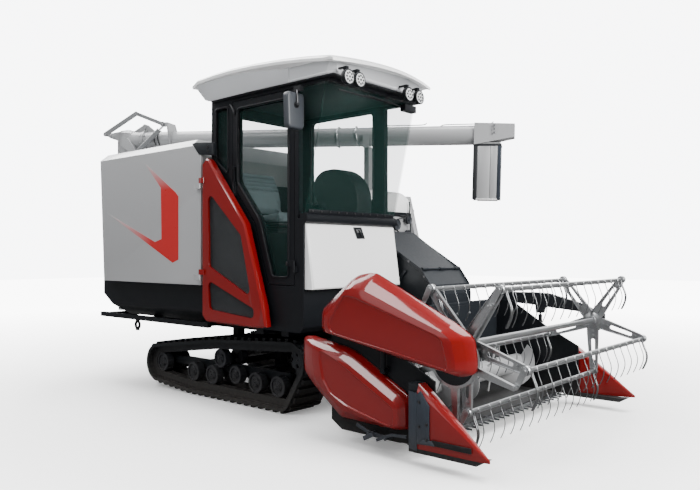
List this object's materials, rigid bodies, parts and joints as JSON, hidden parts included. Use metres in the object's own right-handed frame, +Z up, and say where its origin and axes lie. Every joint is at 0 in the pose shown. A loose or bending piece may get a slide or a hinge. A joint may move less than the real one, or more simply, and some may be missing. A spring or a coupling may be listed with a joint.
{
  "type": "combine harvester",
  "caption": "Full-feed grain combine harvester on rubber tracks, with closed cab, side grain tank, tined pick-up reel, cutting header and slewing unloading auger.",
  "frame": {"origin": "on the ground, under the middle of the machine's length and width", "axes": "+X forwards, +Y to the machine's left, +Z up"},
  "size_m": [5.1319, 2.4011, 2.8],
  "materials": {
    "silver_paint": "satin metallic",
    "red_plastic": "gloss",
    "black_paint": "satin",
    "slate_paint": "satin",
    "roof_plastic": "satin",
    "rubber": "matt",
    "reel_steel": "zinc plated",
    "tine_steel": "dark",
    "glass": "green tint",
    "mesh": "dark mesh",
    "seat_fabric": "matt",
    "dark_plastic": "matt",
    "lamp_face": "gloss",
    "cast_grey": "painted",
    "chrome_rod": "polished",
    "knife_steel": "ground"
  },
  "bodies": {
    "base": {"chassis_frame": "black_paint", "track_frames": "slate_paint", "rollers": "cast_grey", "track_right": "rubber", "track_left": "rubber", "drive_axle": "cast_grey", "engine_block": "cast_grey", "lower_body": "black_paint", "grain_tank": "silver_paint", "cab_floor": "dark_plastic", "front_box": "black_paint", "cab_frame": "black_paint", "cab_glass": "glass", "front_panel": "silver_paint", "seat": "seat_fabric", "console": "dark_plastic", "cab_roof": "roof_plastic", "roof_lamps": "lamp_face", "mirror": "dark_plastic", "thresher": "silver_paint", "straw_hood": "silver_paint", "auger_riser": "silver_paint", "auger_cradle": "slate_paint"},
    "screen_door": {"screen_panel": "red_plastic", "screens": "mesh"},
    "cab_door": {"cab_door": "black_paint", "door_glass": "glass"},
    "left_cover": {"left_cover": "silver_paint"},
    "header": {"feeder": "slate_paint", "header_frame": "slate_paint", "header_sides": "slate_paint", "cutter_bar": "knife_steel", "divider_posts": "slate_paint", "dividers": "red_plastic", "lower_shield": "red_plastic"},
    "header_auger": {"header_auger": "silver_paint"},
    "reel_arms": {"reel_arms": "slate_paint", "upper_shield": "red_plastic"},
    "reel": {"reel": "reel_steel"},
    "reel_ring": {"reel_ring": "reel_steel"},
    "tine_bar_1": {"tine_bar_1": "tine_steel"},
    "tine_bar_2": {"tine_bar_2": "tine_steel"},
    "tine_bar_3": {"tine_bar_3": "tine_steel"},
    "tine_bar_4": {"tine_bar_4": "tine_steel"},
    "tine_bar_5": {"tine_bar_5": "tine_steel"},
    "header_barrel": {"header_barrel": "black_paint"},
    "header_rod": {"header_rod": "chrome_rod"},
    "reel_barrel_right": {"reel_barrel_right": "black_paint"},
    "reel_rod_right": {"reel_rod_right": "chrome_rod"},
    "reel_barrel_left": {"reel_barrel_left": "black_paint"},
    "reel_rod_left": {"reel_rod_left": "chrome_rod"},
    "auger_turret": {"auger_turret": "silver_paint"},
    "auger_boom": {"auger_boom": "silver_paint"},
    "auger_barrel": {"auger_barrel": "silver_paint"},
    "auger_rod": {"auger_rod": "chrome_rod"},
    "auger_lever": {"auger_lever": "silver_paint"},
    "auger_link": {"auger_link": "silver_paint"}
  },
  "joints": [
    {"name": "cab_door", "type": "hinge", "parent": "base", "child": "cab_door", "pos_m": [0.652, -1.014, 1.8], "axis": [0, 0, 1], "range_deg": [0, 80]},
    {"name": "screen_door", "type": "hinge", "parent": "base", "child": "screen_door", "pos_m": [-0.364, -1.112, 1.5], "axis": [0, 0, -1], "range_deg": [0, 90]},
    {"name": "left_cover", "type": "hinge", "parent": "base", "child": "left_cover", "pos_m": [-0.52, 1.002, 1.3], "axis": [0, 0, 1], "range_deg": [0, 100]},
    {"name": "header_lift", "type": "hinge", "parent": "base", "child": "header", "pos_m": [0.43, 0.43, 1.33], "axis": [0, -1, 0], "range_deg": [0, 25]},
    {"name": "header_auger", "type": "hinge", "parent": "header", "child": "header_auger", "pos_m": [1.4, 0, 0.315], "axis": [0, 1, 0], "continuous": true},
    {"name": "reel_arms", "type": "hinge", "parent": "header", "child": "reel_arms", "pos_m": [1.17, 0, 0.905], "axis": [0, -1, 0], "range_deg": [0, 20]},
    {"name": "reel", "type": "hinge", "parent": "reel_arms", "child": "reel", "pos_m": [2.12, 0, 0.745], "axis": [0, 1, 0], "continuous": true},
    {"name": "reel_ring", "type": "hinge", "parent": "reel_arms", "child": "reel_ring", "pos_m": [2.07, -1.034, 0.645], "axis": [0, 1, 0], "continuous": true},
    {"name": "tine_bar_1", "type": "hinge", "parent": "reel", "child": "tine_bar_1", "pos_m": [2.51791, 0, 0.62713], "axis": [0, 1, 0], "continuous": true},
    {"name": "tine_bar_2", "type": "hinge", "parent": "reel", "child": "tine_bar_2", "pos_m": [2.35506, 0, 1.08701], "axis": [0, 1, 0], "continuous": true},
    {"name": "tine_bar_3", "type": "hinge", "parent": "reel", "child": "tine_bar_3", "pos_m": [1.86736, 0, 1.07424], "axis": [0, 1, 0], "continuous": true},
    {"name": "tine_bar_4", "type": "hinge", "parent": "reel", "child": "tine_bar_4", "pos_m": [1.7288, 0, 0.60647], "axis": [0, 1, 0], "continuous": true},
    {"name": "tine_bar_5", "type": "hinge", "parent": "reel", "child": "tine_bar_5", "pos_m": [2.13086, 0, 0.33014], "axis": [0, 1, 0], "continuous": true},
    {"name": "header_barrel", "type": "hinge", "parent": "base", "child": "header_barrel", "pos_m": [0.18, 0.2, 0.56], "axis": [0, -1, 0], "range_deg": [0, 18]},
    {"name": "header_rod", "type": "slide", "parent": "header_barrel", "child": "header_rod", "axis": [0.9881, 0, -0.1538], "range_m": [0, 0.339]},
    {"name": "reel_barrel_right", "type": "hinge", "parent": "header", "child": "reel_barrel_right", "pos_m": [1.59, -1.13, 0.54], "axis": [0, -1, 0], "range_deg": [-3, 0]},
    {"name": "reel_rod_right", "type": "slide", "parent": "reel_barrel_right", "child": "reel_rod_right", "axis": [0, 0, 1], "range_m": [0, 0.152]},
    {"name": "reel_barrel_left", "type": "hinge", "parent": "header", "child": "reel_barrel_left", "pos_m": [1.59, 1.13, 0.54], "axis": [0, -1, 0], "range_deg": [-3, 0]},
    {"name": "reel_rod_left", "type": "slide", "parent": "reel_barrel_left", "child": "reel_rod_left", "axis": [0, 0, 1], "range_m": [0, 0.152]},
    {"name": "auger_slew", "type": "hinge", "parent": "base", "child": "auger_turret", "pos_m": [-2.25, -0.63, 2.3], "axis": [0, 0, 1], "range_deg": [0, 180]},
    {"name": "auger_lift", "type": "hinge", "parent": "auger_turret", "child": "auger_boom", "pos_m": [-2.05652, -0.53459, 2.6294], "axis": [0.4423, -0.8969, 0], "range_deg": [0, 45]},
    {"name": "auger_barrel", "type": "hinge", "parent": "auger_turret", "child": "auger_barrel", "pos_m": [-2.03287, -0.67233, 2.33534], "axis": [0.4423, -0.8969, 0], "range_deg": [0, 22]},
    {"name": "auger_rod", "type": "slide", "parent": "auger_barrel", "child": "auger_rod", "axis": [0.6801, 0.3354, 0.6519], "range_m": [0, 0.127]},
    {"name": "auger_lever", "type": "hinge", "parent": "auger_turret", "child": "auger_lever", "pos_m": [-2.30032, -0.86443, 2.53691], "axis": [0.4423, -0.8969, 0], "range_deg": [0, 21]},
    {"name": "auger_link", "type": "hinge", "parent": "auger_lever", "child": "auger_link", "pos_m": [-1.98515, -0.68894, 2.73455], "axis": [0.4423, -0.8969, 0], "range_deg": [-2, 0]}
  ],
  "couplings": [
    {"joint": "tine_bar_1", "follows": "reel", "ratio": -1},
    {"joint": "tine_bar_2", "follows": "reel", "ratio": -1},
    {"joint": "tine_bar_3", "follows": "reel", "ratio": -1},
    {"joint": "tine_bar_4", "follows": "reel", "ratio": -1},
    {"joint": "tine_bar_5", "follows": "reel", "ratio": -1},
    {"joint": "reel_ring", "follows": "reel", "ratio": 1},
    {"joint": "header_barrel", "follows": "header_lift", "ratio": 0.69873},
    {"joint": "header_rod", "follows": "header_lift", "m_per_rad": 0.77167},
    {"joint": "auger_barrel", "follows": "auger_lift", "ratio": 0.48874},
    {"joint": "auger_rod", "follows": "auger_lift", "m_per_rad": 0.15858},
    {"joint": "auger_lever", "follows": "auger_lift", "ratio": 0.44782},
    {"joint": "auger_link", "follows": "auger_lift", "ratio": -0.03487},
    {"joint": "reel_barrel_right", "follows": "reel_arms", "ratio": -0.1268},
    {"joint": "reel_rod_right", "follows": "reel_arms", "m_per_rad": 0.42995},
    {"joint": "reel_barrel_left", "follows": "reel_arms", "ratio": -0.1268},
    {"joint": "reel_rod_left", "follows": "reel_arms", "m_per_rad": 0.42995}
  ]
}
